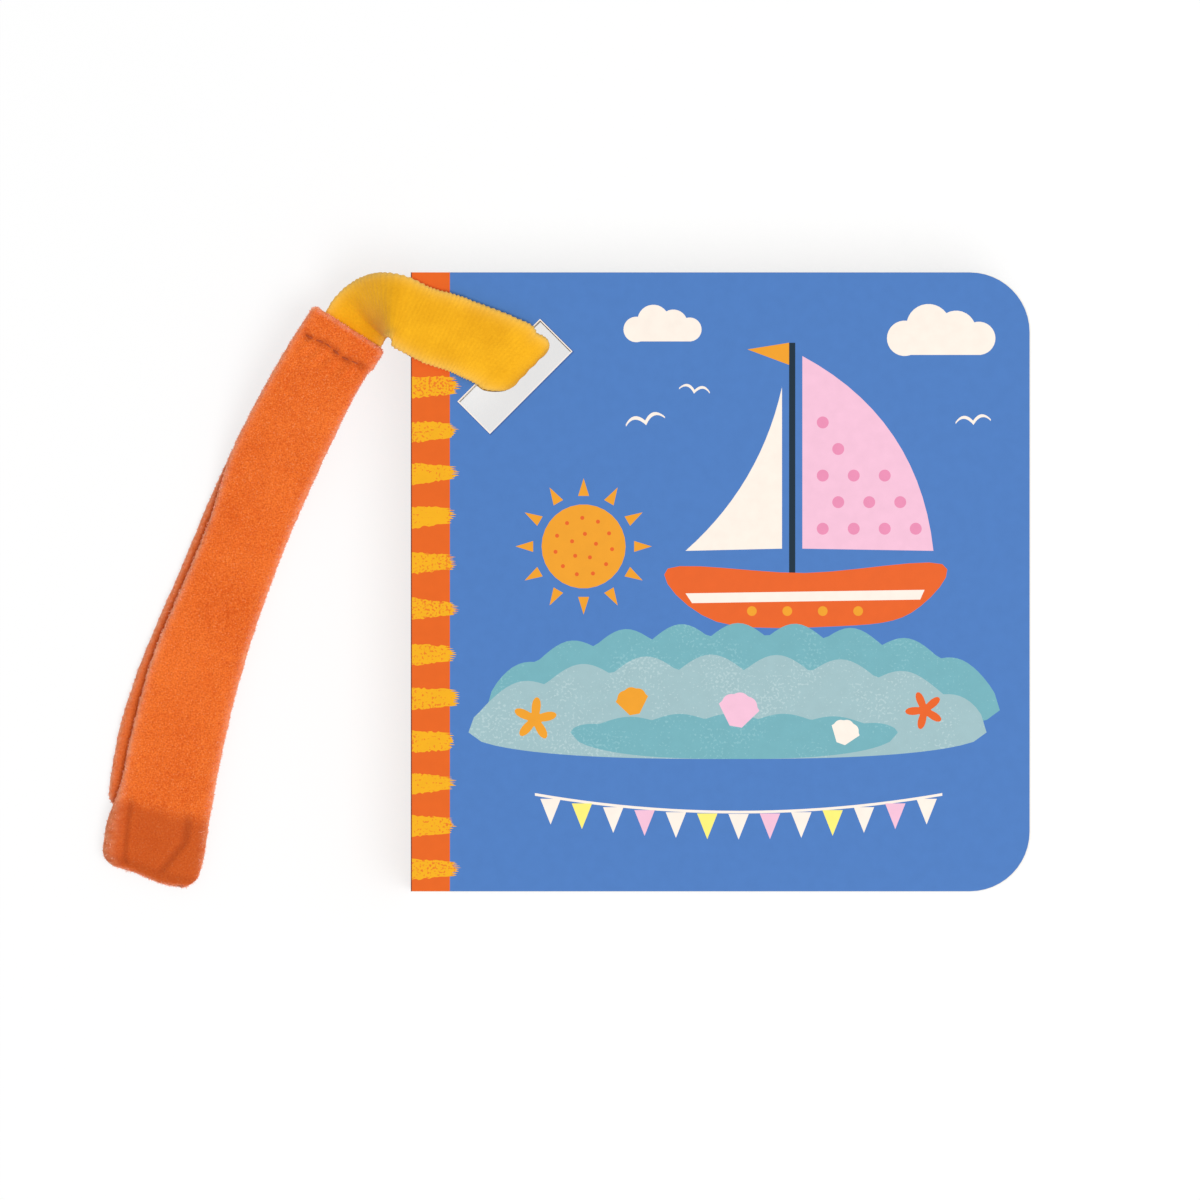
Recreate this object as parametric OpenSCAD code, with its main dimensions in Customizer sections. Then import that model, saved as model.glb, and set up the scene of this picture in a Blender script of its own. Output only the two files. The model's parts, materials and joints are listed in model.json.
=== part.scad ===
// Square board book with a soft strap through a slanted window near its spine.
// Origin: centre of the back cover's outer face. +X from spine to fore edge, +Y to the head, +Z up.
// The strap's rear strand lies under the back cover, so the table is one pressed strap below z = 0.

/* [Boards] */
// Width of the boards from spine to fore edge
book_w = 140; // [120:1:170]
// Height of the boards from tail to head
book_h = 140; // [120:1:170]
// Radius of the two fore-edge corners
corner_r = 13.5; // [6:0.5:20]
// Thickness of one ply of card; a board is two plies glued back to back
ply_t = 1.1; // [0.9:0.1:1.4]
// Gap between two boards, which holds a felt flap
leaf_gap = 1.2; // [1.1:0.1:1.6]
// Thickness of the spine panel
spine_t = 1; // [0.8:0.1:1.4]

/* [Window] */
// Length of the window along its slant
window_len = 25.9; // [22:0.5:30]
// Width of the window across its slant
window_w = 9.9; // [8:0.5:14]
// Distance of the window's centre from the spine
window_in = 23.5; // [21:0.5:32]
// Distance of the window's centre from the head edge
window_down = 23.6; // [21:0.5:32]
// Slant of the window's long side
window_slant = 45; // [40:1:50]

/* [Felt flaps] */
// Thickness of the felt
felt_t = 1; // [0.6:0.1:1]
// Radius of a flap's round body
flap_r = 19; // [14:1:24]
// Length of the strip that is glued to the page
flap_strip_len = 30; // [20:1:40]
// Width of the strip that is glued to the page
flap_strip_w = 12; // [8:1:16]

/* [Strap loop] */
// Thickness of the knitted strap
strap_t = 2.1; // [1.6:0.1:2.6]
// Thickness of the strand pressed under the book
pressed_t = 1.2; // [0.8:0.1:1.8]
// Thickness of each strap end where it is sewn down
tail_t = 1.2; // [0.8:0.1:1.6]
// Width of the strap where it is sewn
strap_seam_w = 14.8; // [12:0.2:15]
// Width of the strap where it turns beside the spine
strap_turn_w = 14; // [13:0.2:16]
// Width of the strap on the cover
strap_cover_w = 16.6; // [15:0.2:18]
// Width of the strap where it folds over the window's edge
strap_fold_w = 18.4; // [17:0.2:19.4]
// Width of the strap gathered inside the window
strap_window_w = 13.4; // [12:0.2:14]
// Inner radius of the turn beside the spine
turn_r = 2; // [1.6:0.1:3]
// Distance of the turn's centre outside the spine
turn_out = 4.2; // [3.6:0.2:8]
// Distance of the turn's centre from the head edge
turn_down = 16; // [14:0.5:22]
// Radius of the fold over the window's edge
fold_r = 3.4; // [2.8:0.1:3.8]

/* [Tabs] */
// Thickness of the plush tabs
tab_t = 2; // [1.6:0.1:2.4]
// Width of the tabs at the seam
tab_seam_w = 19; // [15:0.2:20]
// Width that the front tab reaches at its free end
tab_w = 21.6; // [17:0.2:22]
// Length of the front tab along its curve
front_tab_len = 134; // [115:1:150]
// How far the rear tab ends short of the hook patch
rear_short = 2.2; // [2:0.2:20]
// Radius of the tabs' curve as they lie
tab_curve_r = 290; // [260:10:500]
// How far the rear tab shows beside the front one
tab_peek = 3; // [1:0.2:5]
// Corner radius at the tabs' free ends
tab_end_r = 4; // [2:0.5:7]
// Distance of the stitched row from the tabs' top edge
stitch_in = 6.2; // [5:0.2:7]
// Length over which the tabs come down to the table
drape_len = 44; // [30:1:60]
// Length of the hook patch under the front tab's end
patch_len = 10.5; // [8:0.5:15]
// Width of the hook patch
patch_w = 17; // [12:0.2:18]
// Thickness of the hook patch
patch_t = 1.4; // [1:0.1:1.5]

/* [Hidden] */
$fn = 64;

leaf_count = 4;
board_t = 2 * ply_t;
pitch = board_t + leaf_gap;
book_t = board_t + (leaf_count + 1) * pitch;
mid_z = book_t / 2;
table_z = -pressed_t;
spine_x = -book_w / 2;
head_y = book_h / 2;
cut = 1;

// The two cover hinges, in the middle of the first and the last gap
back_hinge_z = board_t + leaf_gap / 2;
front_hinge_z = book_t - back_hinge_z;

// Window: its centre, its long direction and the side that the strap folds over
window_c = [spine_x + window_in, head_y - window_down];
along = [cos(window_slant), sin(window_slant)];
across = [sin(window_slant), -cos(window_slant)];

// Felt flaps lie on the four leaves and inside the back cover
flap_c = [12, -14];
flap_lobe_r = 6.5;

// Strap: heights and headings. A heading is the way it runs from the seam to the window.
skin_gap = 0.1;
seam_head = 62;
cover_head = -25;
fold_head = window_slant - 90;
turn_c = [spine_x - turn_out, head_y - turn_down];
cover_strand_z = book_t + skin_gap + strap_t / 2;
front_tail_z = mid_z + skin_gap / 2 + tail_t / 2;
rear_share = (mid_z + pressed_t / 2) / (cover_strand_z - mid_z);
tail_len = 9.6;
turn_steps = 12;
rise_from = 1;
rise_to = 10;
cover_steps = 6;
fold_steps = 5;
fold_along = 1.7;
fold_shift = 1.75;
fold_start = 1.8;
fold_settle = 1.2;
lean = 15;
spread_rate = 2.2;
drop_shares = [0.4, 0.75];

// Tabs: where they start and how they lie
tab_skew = 4.8;
tab_head = 180 + seam_head - tab_skew;
tab_side = 1.1;
tab_back = 1.5;
tab_steps = 32;
tab_top_r = 1.2;
tab_edge_share = 0.65;
tab_edge_len = 1.6;
end_slant = 9;
end_slant_len = 24;
tab_start = turn_c + (turn_r + tab_seam_w / 2 - tab_side) * unit(seam_head + 90)
  - tab_back * unit(seam_head);
tab_seam_off = skin_gap / 2 + tail_t + skin_gap + tab_t / 2;
tab_lay_gap = 0.15;
rear_lay_z = table_z + tab_t / 2;
front_lay_z = rear_lay_z + tab_t + tab_lay_gap;
front_end_z = table_z + patch_t + tab_t / 2;
sewn_margin = 0.5;
drape_from = tail_len - tab_back + sewn_margin;
stitch_pinch = 0.3;
stitch_half = 1.6;
stitch_places = [-1.4, -0.7, 0, 0.8, 1.8];
step_gap = 1;
step_len = 4;
peek_at = 0.88;
peek_half = 48;
patch_in = 1.8;
patch_corner_r = 1;
patch_s = front_tab_len - patch_in - patch_len / 2;
rear_tab_len = front_tab_len - patch_in - patch_len - rear_short;

function unit(a) = [cos(a), sin(a)];
function smooth(t) = (1 - cos(180 * min(1, max(0, t)))) / 2;
function mix(a, b, t) = a + (b - a) * t;
// A single soft hump of height 1, centred on 0 and 2 wide
function hump(t) = abs(t) < 1 ? (1 + cos(180 * t)) / 2 : 0;

// A ribbon section: position, height, heading, half width, half thickness
function section(p, z, head, w, t) = [p.x, p.y, z, head, w / 2, t / 2];

// The way a ribbon climbs at section i, from its neighbours
function climb(path, i) =
  let (a = path[max(0, i - 1)])
  let (b = path[min(len(path) - 1, i + 1)])
  let (run = (b.x - a.x) * cos(path[i][3]) + (b.y - a.y) * sin(path[i][3]))
  atan2(b.z - a.z, run);

// One ring of a ribbon: a flat oval with round edges
function ring(s, pitch_a) =
  let (side = [-sin(s[3]), cos(s[3]), 0])
  let (up = [-sin(pitch_a) * cos(s[3]), -sin(pitch_a) * sin(s[3]), cos(pitch_a)])
  [for (end = [1, -1])
    for (k = [0:4])
      let (a = 45 * k - 90)
      [s.x, s.y, s.z] + end * ((s[4] - s[5] + s[5] * cos(a)) * side + s[5] * sin(a) * up)];

module ribbon(path) {
  rings = [for (i = [0:len(path) - 1]) ring(path[i], climb(path, i))];
  n = len(rings[0]);
  last = (len(rings) - 1) * n;
  polyhedron(
    points = [for (r = rings) for (p = r) p],
    faces = concat(
      [[for (j = [0:n - 1]) j]],
      [[for (j = [n - 1:-1:0]) last + j]],
      [for (i = [0:len(rings) - 2])
        for (j = [0:n - 1])
          let (a = i * n + j)
          let (b = i * n + (j + 1) % n)
          for (face = [[a, a + n, b + n], [a, b + n, b]]) face]),
    convexity = 6);
}

// Outline of every board: square at the spine, round at the fore edge
module board_outline() {
  difference() {
    translate([spine_x, -head_y])
      square([book_w, book_h]);
    for (side = [-1, 1])
      translate([book_w / 2 - corner_r, side * (head_y - corner_r)])
        difference() {
          translate([0, side > 0 ? 0 : -corner_r - cut])
            square([corner_r + cut, corner_r + cut]);
          circle(corner_r);
        }
  }
}

module window_hole(low, high) {
  translate([window_c.x, window_c.y, low - cut])
    rotate(window_slant)
      translate([-window_len / 2, -window_w / 2, 0])
        cube([window_len, window_w, high - low + 2 * cut]);
}

module board(low) {
  difference() {
    translate([0, 0, low])
      linear_extrude(board_t)
        board_outline();
    window_hole(low, low + board_t);
  }
}

module front_cover() {
  color("#5484c6")
    board(book_t - board_t);
}

module back_cover() {
  color("#5484c6")
    board(0);
}

// The card panel between the two cover hinges
module spine() {
  color("#ec6a24")
    translate([spine_x, -head_y, back_hinge_z])
      cube([spine_t, book_h, front_hinge_z - back_hinge_z]);
}

// Section of the page block: leaves of two plies, joined by folds at the gutter
module gutter_profile() {
  fold_x = spine_x + spine_t + leaf_gap / 2 + ply_t;
  for (i = [1:leaf_count])
    translate([fold_x, i * pitch])
      square([book_w / 2 - fold_x, board_t]);
  for (i = [1:leaf_count - 1])
    translate([fold_x, i * pitch + board_t + leaf_gap / 2])
      difference() {
        circle(leaf_gap / 2 + ply_t);
        circle(leaf_gap / 2);
        translate([0, -pitch])
          square([pitch, 2 * pitch]);
      }
}

// Four leaves in one block: folded spreads glued back to back
module pages() {
  color("#fdf1e5")
    difference() {
      intersection() {
        translate([0, head_y, 0])
          rotate([90, 0, 0])
            linear_extrude(book_h)
              gutter_profile();
        linear_extrude(book_t)
          board_outline();
      }
      window_hole(pitch, book_t - pitch);
    }
}

// A felt flap: a lobed disc with a strip on its gutter side that is glued to the page
module felt_flap(level, lobes, tint) {
  color(tint)
    translate([flap_c.x, flap_c.y, level * pitch + board_t])
      linear_extrude(felt_t) {
        circle(flap_r);
        for (i = [0:lobes - 1])
          rotate(i * 360 / lobes)
            translate([flap_r, 0])
              circle(flap_lobe_r);
        translate([-flap_r - flap_strip_w, -flap_strip_len / 2])
          square([flap_r + flap_strip_w, flap_strip_len]);
      }
}

// The strap's sections from the seam up to the cover, round the turn beside the spine
strap_rise = concat(
  [for (k = [0:2])
    section(turn_c + (turn_r + strap_seam_w / 2) * unit(seam_head + 90)
      - tail_len * (1 - k / 3) * unit(seam_head),
      front_tail_z, seam_head, strap_seam_w, tail_t)],
  [for (k = [0:turn_steps])
    let (head = mix(seam_head, cover_head, k / turn_steps))
    let (w = mix(strap_seam_w, strap_turn_w, smooth(k / turn_steps)))
    section(turn_c + (turn_r + w / 2) * unit(head + 90),
      mix(front_tail_z, cover_strand_z, smooth((k - rise_from) / (rise_to - rise_from))), head, w,
      mix(tail_t, strap_t, smooth(2 * k / turn_steps)))]);

// Where the strap meets the window's edge, and where it leaves the turn
fold_from = window_c + fold_along * along - window_w / 2 * across;
turn_end = turn_c + (turn_r + strap_turn_w / 2) * unit(cover_head + 90);

// Sections across the cover, widening and turning square to the window
strap_cover = [for (k = [1:cover_steps])
  let (t = k / cover_steps)
  let (w = mix(mix(strap_turn_w, strap_cover_w, smooth(spread_rate * t)), strap_fold_w, smooth(2 * t - 1)))
  section(mix(turn_end, fold_from, t), cover_strand_z,
    mix(cover_head, fold_head, smooth(2 * t - 1)), w, strap_t)];

// Sections over the window's edge and down to the middle of the book
function fold_section(out, z, share) =
  section(fold_from + out * across + fold_shift * share * along, z, fold_head,
    mix(strap_fold_w, strap_window_w, share), strap_t);
fold_top_z = cover_strand_z - fold_r;
fold_lean_z = fold_top_z - fold_r * sin(lean);
fold_lean_out = fold_start + fold_r * cos(lean);
strap_fold = concat(
  [for (k = [0:fold_steps])
    let (a = k * (90 + lean) / fold_steps)
    fold_section(fold_start + fold_r * sin(a), fold_top_z + fold_r * cos(a), sin(min(90, a)))],
  [for (t = drop_shares)
    fold_section(fold_lean_out - fold_settle * smooth(t), mix(fold_lean_z, mid_z, t), 1)]);

strap_upper = concat(strap_rise, strap_cover, strap_fold);
strap_middle = fold_section(fold_lean_out - fold_settle, mid_z, 1);

// The rear strand repeats the front one below the middle, flattened under the book
function rear(s) =
  let (down = (s.z - mid_z) / (cover_strand_z - mid_z))
  [s.x, s.y, mid_z - (s.z - mid_z) * rear_share, s[3], s[4], mix(s[5], pressed_t / 2, down)];

module strap_loop() {
  color("#f3b31c")
    ribbon(concat(strap_upper, [strap_middle],
      [for (i = [len(strap_upper) - 1:-1:0]) rear(strap_upper[i])]));
}

// Heading of the tabs' curve, and a point on it, s along it and off to its left
function tab_turned(s) = tab_head + s / tab_curve_r * 180 / PI;
function tab_point(s, off) =
  let (h = tab_turned(s))
  tab_start + tab_curve_r * [sin(h) - sin(tab_head), cos(tab_head) - cos(h)] + off * unit(h + 90);

// How much narrower a tab is near its rounded free end or its top edge
function round_in(left, r) = left < r ? r - sqrt(r * r - pow(r - max(0, left), 2)) : 0;

// Places along a tab: close together at the seam and at the rounded end
function tab_places(length) = concat(
  [0, tab_top_r / 2],
  [for (d = stitch_places) stitch_in + d],
  [for (k = [1:tab_steps]) mix(stitch_in + stitch_places[4], length - tab_end_r, k / tab_steps)],
  [for (a = [25, 45, 62, 77, 88]) length - tab_end_r * (1 - sin(a))]);

function tab_thick(s) =
  tab_t * (1 - stitch_pinch * hump((s - stitch_in) / stitch_half))
    * mix(tab_edge_share, 1, min(1, s / tab_edge_len));

function tab_wide(s, length) =
  mix(tab_seam_w, tab_w, s / front_tab_len)
    - 2 * round_in(length - s, tab_end_r) - 2 * round_in(s, tab_top_r);

// Heading of a section: square to the curve, but slanted towards the tab's free end
function tab_slant(s, length) =
  tab_turned(s) - end_slant * smooth((s - length + end_slant_len) / end_slant_len);

module front_tab() {
  off_patch = front_end_z - front_lay_z;
  color("#ee712e")
    ribbon([for (s = tab_places(front_tab_len))
      section(tab_point(s, 0),
        mix(mid_z + tab_seam_off, front_lay_z, smooth((s - drape_from) / drape_len))
          + off_patch * smooth((s - rear_tab_len - step_gap) / step_len),
        tab_slant(s, front_tab_len), tab_wide(s, front_tab_len), tab_thick(s))]);
}

module rear_tab() {
  color("#e8682a")
    ribbon([for (s = tab_places(rear_tab_len))
      section(tab_point(s, -tab_peek * hump((s - peek_at * rear_tab_len) / peek_half)),
        mix(mid_z - tab_seam_off, rear_lay_z, smooth((s - drape_from) / drape_len)),
        tab_slant(s, rear_tab_len), tab_wide(s, rear_tab_len), tab_thick(s))]);
}

// Hook tape sewn under the front tab's end
module hook_patch() {
  p = tab_point(patch_s, 0);
  color("#c9531f")
    translate([p.x, p.y, table_z])
      rotate(tab_turned(patch_s))
        linear_extrude(patch_t) {
          square([patch_len - 2 * patch_corner_r, patch_w], center = true);
          square([patch_len, patch_w - 2 * patch_corner_r], center = true);
          for (i = [-1, 1], j = [-1, 1])
            translate([i * (patch_len / 2 - patch_corner_r), j * (patch_w / 2 - patch_corner_r)])
              circle(patch_corner_r);
        }
}

front_cover();
spine();
pages();
back_cover();
felt_flap(4, 7, "#f1a124");  // felt_flap_1
felt_flap(3, 5, "#f6c2d9");  // felt_flap_2
felt_flap(2, 8, "#76b2bc");  // felt_flap_3
felt_flap(1, 6, "#ea6c20");  // felt_flap_4
felt_flap(0, 9, "#fcb622");  // felt_flap_5
strap_loop();
front_tab();
rear_tab();
hook_patch();
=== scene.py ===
import json
import math
import random

import bpy
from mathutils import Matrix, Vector, noise
from mathutils.geometry import delaunay_2d_cdt


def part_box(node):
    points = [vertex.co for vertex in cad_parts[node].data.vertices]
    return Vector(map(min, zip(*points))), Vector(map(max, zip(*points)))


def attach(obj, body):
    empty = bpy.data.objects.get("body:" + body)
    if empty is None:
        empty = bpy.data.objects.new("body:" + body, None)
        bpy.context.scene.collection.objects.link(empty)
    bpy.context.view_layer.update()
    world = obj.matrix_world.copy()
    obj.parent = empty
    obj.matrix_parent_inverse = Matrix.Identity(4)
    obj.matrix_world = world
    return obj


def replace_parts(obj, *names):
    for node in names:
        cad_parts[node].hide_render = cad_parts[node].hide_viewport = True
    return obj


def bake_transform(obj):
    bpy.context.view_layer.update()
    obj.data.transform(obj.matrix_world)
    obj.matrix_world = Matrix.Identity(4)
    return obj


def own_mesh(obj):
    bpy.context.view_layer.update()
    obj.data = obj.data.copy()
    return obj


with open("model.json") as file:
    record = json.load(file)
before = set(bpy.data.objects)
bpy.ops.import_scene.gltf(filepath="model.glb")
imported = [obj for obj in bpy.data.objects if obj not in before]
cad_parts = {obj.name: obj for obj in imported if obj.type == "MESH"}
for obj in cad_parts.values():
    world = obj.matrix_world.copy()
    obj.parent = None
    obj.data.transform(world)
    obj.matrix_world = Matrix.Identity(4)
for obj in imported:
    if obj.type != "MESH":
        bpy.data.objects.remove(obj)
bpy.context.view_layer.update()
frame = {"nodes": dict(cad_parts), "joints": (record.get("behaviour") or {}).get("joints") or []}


# Camera
# The photograph looks straight down on the front cover from far off, so nothing leans. A very long
# lens does the same. It stands over the middle of the picture, which lies left of the book.

MM = 0.001  # every size below is in millimetres, and a mesh is made in metres

view_w = 271
view_centre = (-27.3, -4.1)
lens_mm = 400
sensor_w = 36

front_low, front_high = (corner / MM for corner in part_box("front_cover"))
back_low, back_high = (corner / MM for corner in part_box("back_cover"))
book_t = front_high.z
spine_x = front_low.x
fore_x = front_high.x
head_y = front_high.y

camera = bpy.data.objects.new("camera", bpy.data.cameras.new("camera"))
bpy.context.scene.collection.objects.link(camera)
camera.data.lens = lens_mm
camera.data.sensor_width = sensor_w
camera.data.clip_end = 20
camera.location = Vector((*view_centre, book_t + view_w * lens_mm / sensor_w)) * MM
bpy.context.scene.camera = camera


# Page block and the boards of the covers
# Four leaves and two covers of white-lined card, each of two plies glued back to back and cut by
# one die. The cut edges are bare: off-white paper fibre with a fine line where the plies meet.

pitch = (front_low.z - back_low.z) / 5
ply_t = (back_high.z - back_low.z) / 2


def linear(hex_colour):
    """A colour as it is seen, turned to the linear values that a shader takes."""
    parts = [int(hex_colour[i : i + 2], 16) / 255 for i in (1, 3, 5)]
    return [c / 12.92 if c <= 0.04045 else ((c + 0.055) / 1.055) ** 2.4 for c in parts] + [1]


def new_finish(name, **sockets):
    """A finish with its own name, and the settings that are the same all over it."""
    finish = bpy.data.materials.new(name)
    finish.use_nodes = True
    shader = finish.node_tree.nodes["Principled BSDF"]
    for key, value in sockets.items():
        shader.inputs[key.replace("_", " ")].default_value = value
    return finish


def add(finish, kind, inputs, **settings):
    """Adds a node to a finish, with its settings, and its inputs as values or as what feeds them."""
    node = finish.node_tree.nodes.new(kind)
    for key, value in settings.items():
        setattr(node, key, value)
    for key, value in inputs.items():
        if isinstance(value, bpy.types.NodeSocket):
            finish.node_tree.links.new(value, node.inputs[key])
        else:
            node.inputs[key].default_value = value
    return node.outputs


def where(finish):
    """The place on a piece, in the frame of its own object."""
    return add(finish, "ShaderNodeTexCoord", {})["Object"]


def grain(finish, size_mm, detail, **more):
    """Noise with grains of about one size."""
    sockets = {"Vector": where(finish), "Scale": 1 / (size_mm * MM), "Detail": detail, **more}
    return add(finish, "ShaderNodeTexNoise", sockets)[0]


def maths(finish, operation, *values):
    """One sum on values, or on what feeds them."""
    return add(finish, "ShaderNodeMath", dict(enumerate(values)), operation=operation)[0]


def ranged(finish, value, low, high, start=0, end=1):
    """A value that runs from low to high, turned to run from start to end and held there."""
    return add(finish, "ShaderNodeMapRange", {0: value, 1: low, 2: high, 3: start, 4: end})[0]


def tinted(finish, share, one, other):
    """A colour that goes from one to the other with the share. Each is a hex or what feeds it."""
    sides = [linear(side) if isinstance(side, str) else side for side in (one, other)]
    return add(finish, "ShaderNodeMix", {0: share, 6: sides[0], 7: sides[1]}, data_type="RGBA")[2]


def coat(finish, colour, height=None, strength=0.0, depth_mm=0.0):
    """Gives a finish its colour and, where it has one, its relief."""
    shader = finish.node_tree.nodes["Principled BSDF"]
    finish.node_tree.links.new(colour, shader.inputs["Base Color"])
    if strength:
        relief = {"Height": height, "Strength": strength, "Distance": depth_mm * MM}
        bump = add(finish, "ShaderNodeBump", relief)[0]
        finish.node_tree.links.new(bump, shader.inputs["Normal"])


def cut_card(name, face_hex, core_hex):
    """White-lined card: smooth on its faces, and fibrous with a ply line on its cut edges."""
    card = new_finish(name, Roughness=0.72)
    height = add(card, "ShaderNodeSeparateXYZ", {0: where(card)})["Z"]
    share = maths(card, "FRACT", maths(card, "MULTIPLY", height, 1 / (pitch * MM)))
    off = maths(card, "ABSOLUTE", maths(card, "SUBTRACT", share, ply_t / pitch))
    ply_line = ranged(card, off, 0.01, 0.035, 0.45, 0)
    fibres = grain(card, 0.25, 3)
    dark = maths(card, "MAXIMUM", ranged(card, fibres, 0.45, 0.75, 0, 0.5), ply_line)
    core = tinted(card, dark, core_hex, "#cfc3b2")
    facing = add(card, "ShaderNodeNewGeometry", {})["True Normal"]
    upright = maths(card, "ABSOLUTE", add(card, "ShaderNodeSeparateXYZ", {0: facing})["Z"])
    flat = maths(card, "GREATER_THAN", upright, 0.5)
    coat(card, tinted(card, flat, core, face_hex), fibres, 0.25, 0.05)
    return card


cover_board = cut_card("white-lined cover board, die cut", "#f4f1ea", "#f6f2e9")
page_board = cut_card("white-lined page board, die cut", "#fbf8f1", "#fdf6ec")
spine_board = cut_card("spine panel board", "#e9e2d4", "#ece4d6")
for node, card in (
    ("front_cover", cover_board),
    ("back_cover", cover_board),
    ("pages", page_board),
    ("spine", spine_board),
):
    for slot in frame["nodes"][node].material_slots:
        slot.material = card


# Printed sheets on the boards
# Matt laminated paper, offset printed in flat fields of ink and glued to the boards before they are
# cut. The fore edge shows a hair of bare board. Each field is cut as its own faces of one sheet.

paper = 0.02
bare_edge = 0.28
corner_r = 13.5
window_centre = Vector((spine_x + 23.5, head_y - 23.6))
window_len = 25.9
window_w = 9.9
window_slant = 45
lined_from = spine_x + 3.7

inks = {}


def new_ink(name, hex_colour, fleck_hex="#ffffff", fleck_share=0.0, fleck_mm=0.7):
    """Offset ink under a matt film: even, with a faint mottle and, on some fields, worn flecks."""
    ink = new_finish(f"{name} ink under matt film", Roughness=0.55, Specular_IOR_Level=0.2)
    shade = ranged(ink, grain(ink, 2.5, 4), 0.3, 0.7, 0.975, 1.02)
    even = {0: linear(hex_colour)[:3], "Scale": shade}
    tone = add(ink, "ShaderNodeVectorMath", even, operation="SCALE")[0]
    if fleck_share:
        both = maths(ink, "MULTIPLY_ADD", grain(ink, 11, 2), 0.45, grain(ink, fleck_mm, 5))
        edge = 0.9 - 0.25 * fleck_share
        tone = tinted(ink, ranged(ink, both, edge, edge + 0.03, 0, 0.8), tone, fleck_hex)
    coat(ink, tone)
    inks[name] = ink


for name, *look in (
    ("sea blue", "#4b7cc1"),
    ("spine orange", "#e86412"),
    # Painted shade: a thin dark line along the spine's edge, where the cover turns over it.
    ("worn fold", "#7c3413"),
    # Painted shade: a darker blue line beside the window.
    ("window line", "#3f66a6"),
    ("brush yellow", "#f6b008", "#ea681a", 0.34, 0.55),
    ("cream", "#fdf1e5"),
    ("sail pink", "#f6c2d9"),
    ("deep pink", "#ec90b5"),
    ("pale teal", "#a0c0c5", "#b6d0d3", 0.3, 0.6),
    ("mid teal", "#74b1bb", "#89bfc7", 0.25, 0.6),
    ("sun orange", "#f1a124"),
    ("hull red", "#ea6320"),
    ("mast navy", "#0d2a3c"),
    ("soft yellow", "#fff27a"),
):
    new_ink(name, *look)


def mix(a, b, t):
    """The value that lies the share t of the way from a to b."""
    return a + (b - a) * t


def unit(degrees):
    """A flat direction, from its heading."""
    return Vector((math.cos(math.radians(degrees)), math.sin(math.radians(degrees))))


def arc(centre, radius, start, end, steps):
    """Points along part of a circle."""
    return [Vector(centre) + radius * unit(mix(start, end, k / steps)) for k in range(steps + 1)]


def disc(x, y, radius):
    """The outline of a round spot."""
    return arc((x, y), radius, 0, 360, 30)[:-1]


def board_sheet(left, inset):
    """The outline of a sheet for one board: square at the spine, round at the fore edge."""
    x, y, r = fore_x - inset, head_y - inset * 0.4, corner_r
    low = arc((x - r, r - y), r, -90, 0, 12)
    high = arc((x - r, y - r), r, 0, 90, 12)
    return [Vector((left, -y)), *low, *high, Vector((left, y))]


def window_outline(margin=0.0):
    """The slanted window that one die cuts through every board, or an outline round it."""
    far = unit(window_slant) * (window_len / 2 + margin)
    wide = unit(window_slant - 90) * (window_w / 2 + margin)
    corners = ((-1, -1), (-1, 1), (1, 1), (1, -1))
    return [window_centre + a * far + b * wide for a, b in corners]


def put_mesh(name, points, faces, finishes, which=None, smooth=False):
    """Makes one piece from points in millimetres. which gives each face's finish."""
    mesh = bpy.data.meshes.new(name)
    mesh.from_pydata([Vector(p) * MM for p in points], [], faces)
    for finish in finishes:
        mesh.materials.append(finish)
    if which:
        mesh.polygons.foreach_set("material_index", which)
    mesh.polygons.foreach_set("use_smooth", [smooth] * len(faces))
    mesh.update()
    piece = bpy.data.objects.new(name, mesh)
    bpy.context.scene.collection.objects.link(piece)
    return piece


def printed_sheet(name, fields, place, facing):
    """A sheet from flat fields of ink, each over those before it. The first one is the sheet itself."""
    points, loops = [], []
    for ink, outline in fields:
        ring = [Vector(p) for p in outline]
        turn = sum(a.cross(b) for a, b in zip(ring, ring[1:] + ring[:1]))
        ring = ring if turn > 0 else ring[::-1]
        loops.append(list(range(len(points), len(points) + len(ring))))
        points += ring
    spots, _, cuts, _, _, sources = delaunay_2d_cdt(points, [], loops, 1, 1e-5)
    used = sorted({ink for ink, _ in fields if ink != "window"})
    faces, which = [], []
    for cut, source in zip(cuts, sources):
        ink = fields[max(source)][0] if 0 in source else "window"
        if ink != "window":
            a, b, c = (Vector(place(*spots[i])) for i in cut[:3])
            faces.append(cut if (b - a).cross(c - a).dot(Vector(facing)) > 0 else cut[::-1])
            which.append(used.index(ink))
    kept = sorted({i for face in faces for i in face})
    number = {old: new for new, old in enumerate(kept)}
    faces = [[number[i] for i in face] for face in faces]
    sheet = put_mesh(name, [place(*spots[i]) for i in kept], faces, [inks[ink] for ink in used], which)
    return sheet


# The striped band beside the spine
# Broad strokes of a dry brush run from the front cover over the spine to the back cover. Their ends
# are ragged, and bare flecks of the orange ground show through.

band_w = 8.8
stroke_count = 14
stroke_pitch = 9.84
first_stroke_y = 63.5
stroke_w = 4.9
tooth_count = 8
ragged_len = 2.8
# Width of the line of painted shade along the spine's edge.
fold_shade_w = 0.22
wander_most = 1.3
wander_middle = 9.5
wander_reach = 5


def hump(t):
    """A soft hump of height 1, centred on 0 and 2 wide."""
    return (1 + math.cos(math.pi * t)) / 2 if abs(t) < 1 else 0


def oblong(left, low, right, high):
    """The outline of an upright rectangle."""
    return [(left, low), (right, low), (right, high), (left, high)]


strokes = []
brush = random.Random(5)
for k in range(stroke_count):
    wander = wander_most * hump((k - wander_middle) / wander_reach)
    y = first_stroke_y - k * stroke_pitch - wander + brush.uniform(-0.25, 0.25)
    strokes.append((y, brush.uniform(9.8, 11.2)))
strokes[0] = (first_stroke_y - 1, band_w - 0.6)


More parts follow.
